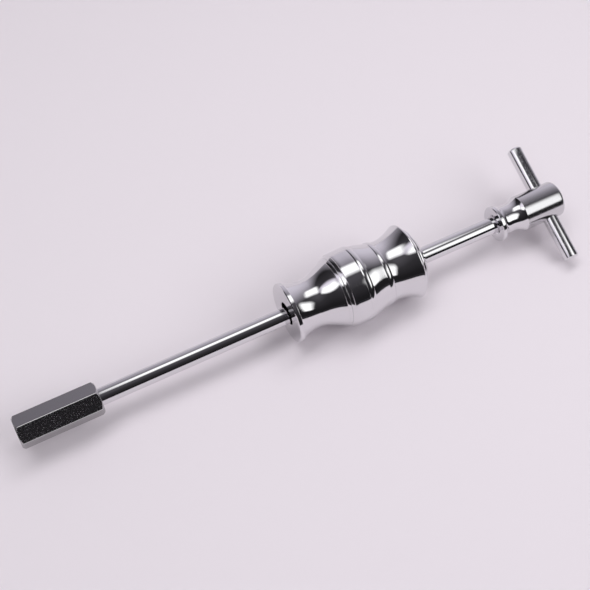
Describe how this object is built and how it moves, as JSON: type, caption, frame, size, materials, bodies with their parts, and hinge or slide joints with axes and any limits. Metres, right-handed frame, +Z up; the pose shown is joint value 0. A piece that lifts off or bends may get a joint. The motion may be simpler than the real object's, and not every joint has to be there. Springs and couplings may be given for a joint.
{
  "type": "slide hammer puller",
  "caption": "Slide hammer puller: a loose turned weight slides on a round rod between a long hex adapter and the stop disc of a cross-bar handle.",
  "frame": {"origin": "centre of the adapter's outer end, at the mouth of the attachment thread, on the rod's axis", "axes": "+X along the rod from the adapter to the handle, +Z up with the tool lying on its weight"},
  "size_m": [0.5465, 0.1166, 0.072],
  "materials": {
    "adapter": "chrome plate over drawn hex bar, slightly orange-peeled, bare steel thread inside",
    "rod": "polished chrome plate over ground round bar",
    "weight": "mirror-polished chrome plate over a turned steel body",
    "head": "mirror-polished chrome plate over a turned steel body",
    "bar": "polished chrome plate over plain round bar"
  },
  "bodies": {
    "shaft": {"hex_adapter": "adapter", "slide_rod": "rod", "handle_head": "head", "tommy_bar": "bar"},
    "weight": {"hammer_weight": "weight"}
  },
  "joints": [
    {"name": "weight_slide", "type": "slide", "parent": "shaft", "child": "weight", "axis": [1, 0, 0], "range_m": [-0.1807, 0.0857]}
  ]
}
